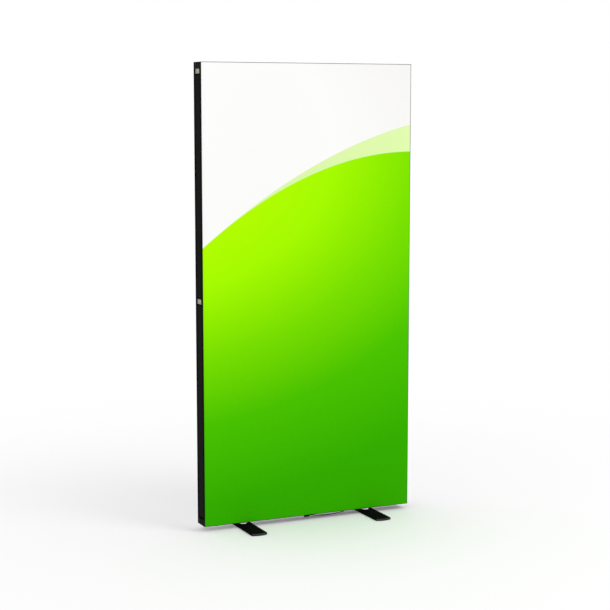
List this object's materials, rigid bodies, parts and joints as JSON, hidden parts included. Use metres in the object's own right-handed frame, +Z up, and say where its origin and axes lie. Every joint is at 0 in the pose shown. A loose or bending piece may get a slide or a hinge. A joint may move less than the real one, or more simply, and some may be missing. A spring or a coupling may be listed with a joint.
{
  "type": "lightbox display wall",
  "caption": "Free-standing lightbox wall: a tall black extruded frame with a stretched printed fabric front, edge lights inside, latched joints and two flat swivelling feet.",
  "frame": {"origin": "on the floor, under the middle of the frame, which is also the middle of the feet's footprint", "axes": "+Z up, the printed front faces -Y, +X to the right as seen from the front"},
  "size_m": [1, 0.387, 2.024],
  "materials": {
    "black_aluminium": "satin black anodised",
    "black_plastic": "fine moulded texture, black",
    "dark_strip": "matt dark grey strip",
    "grey_plastic": "moulded, light grey",
    "yellow_plastic": "moulded, yellow",
    "plain_steel": "bright turned steel",
    "bare_aluminium": "mill finish",
    "white_metal": "white coated",
    "black_steel": "black powder coat",
    "printed_fabric": "stretched printed knit, lit from behind",
    "white_fabric": "stretched white knit",
    "clear_silicone": "translucent silicone strip",
    "wire_sheath": "black cable sheath"
  },
  "bodies": {
    "frame": {"back_liner": "white_fabric", "bottom_rail": "black_aluminium", "corner_angle_bottom_left": "bare_aluminium", "corner_angle_bottom_right": "bare_aluminium", "corner_angle_top_left": "bare_aluminium", "corner_angle_top_right": "bare_aluminium", "cover_strip_left_lower": "dark_strip", "cover_strip_left_upper": "dark_strip", "cover_strip_right_lower": "dark_strip", "cover_strip_right_upper": "dark_strip", "crossbar": "bare_aluminium", "edge_strip_back_bottom": "clear_silicone", "edge_strip_back_left": "clear_silicone", "edge_strip_back_right": "clear_silicone", "edge_strip_back_top": "clear_silicone", "edge_strip_front_bottom": "clear_silicone", "edge_strip_front_left": "clear_silicone", "edge_strip_front_right": "clear_silicone", "edge_strip_front_top": "clear_silicone", "end_cap_bottom_left": "black_plastic", "end_cap_bottom_right": "black_plastic", "end_cap_top_left": "black_plastic", "end_cap_top_right": "black_plastic", "foot_bolt_left": "plain_steel", "foot_bolt_right": "plain_steel", "foot_hub_left": "plain_steel", "foot_hub_right": "plain_steel", "foot_nut_left": "plain_steel", "foot_nut_right": "plain_steel", "front_graphic": "printed_fabric", "inner_wire_left": "wire_sheath", "inner_wire_right": "wire_sheath", "latch_housing_left_middle": "grey_plastic", "latch_housing_left_top": "grey_plastic", "latch_housing_right_middle": "grey_plastic", "latch_housing_right_top": "grey_plastic", "latch_spring_left_middle": "plain_steel", "latch_spring_left_top": "plain_steel", "latch_spring_right_middle": "plain_steel", "latch_spring_right_top": "plain_steel", "lead_connector": "black_plastic", "light_bar_left_lower": "white_metal", "light_bar_left_upper": "white_metal", "light_bar_right_lower": "white_metal", "light_bar_right_upper": "white_metal", "middle_splice_left": "bare_aluminium", "middle_splice_right": "bare_aluminium", "power_inlet": "black_plastic", "power_lead": "wire_sheath", "top_rail": "black_aluminium", "upright_left_lower": "black_aluminium", "upright_left_upper": "black_aluminium", "upright_right_lower": "black_aluminium", "upright_right_upper": "black_aluminium"},
    "foot_left": {"foot_plate_left": "black_steel"},
    "foot_right": {"foot_plate_right": "black_steel"},
    "button_left_middle": {"latch_button_left_middle": "yellow_plastic"},
    "button_left_top": {"latch_button_left_top": "yellow_plastic"},
    "button_right_middle": {"latch_button_right_middle": "yellow_plastic"},
    "button_right_top": {"latch_button_right_top": "yellow_plastic"}
  },
  "joints": [
    {"name": "foot_left_swivel", "type": "hinge", "parent": "frame", "child": "foot_left", "pos_m": [-0.302, 0, 0], "axis": [0, 0, 1], "range_deg": [-60, 60]},
    {"name": "foot_right_swivel", "type": "hinge", "parent": "frame", "child": "foot_right", "pos_m": [0.302, 0, 0], "axis": [0, 0, 1], "range_deg": [-60, 60]},
    {"name": "button_left_middle_press", "type": "slide", "parent": "frame", "child": "button_left_middle", "axis": [1, 0, 0], "range_m": [0, 0.003], "stiffness_N_per_m": 300, "springref_m": -0.003, "deforming": ["latch_spring_left_middle"]},
    {"name": "button_left_top_press", "type": "slide", "parent": "frame", "child": "button_left_top", "axis": [1, 0, 0], "range_m": [0, 0.003], "stiffness_N_per_m": 300, "springref_m": -0.003, "deforming": ["latch_spring_left_top"]},
    {"name": "button_right_middle_press", "type": "slide", "parent": "frame", "child": "button_right_middle", "axis": [-1, 0, 0], "range_m": [0, 0.003], "stiffness_N_per_m": 300, "springref_m": -0.003, "deforming": ["latch_spring_right_middle"]},
    {"name": "button_right_top_press", "type": "slide", "parent": "frame", "child": "button_right_top", "axis": [-1, 0, 0], "range_m": [0, 0.003], "stiffness_N_per_m": 300, "springref_m": -0.003, "deforming": ["latch_spring_right_top"]}
  ]
}
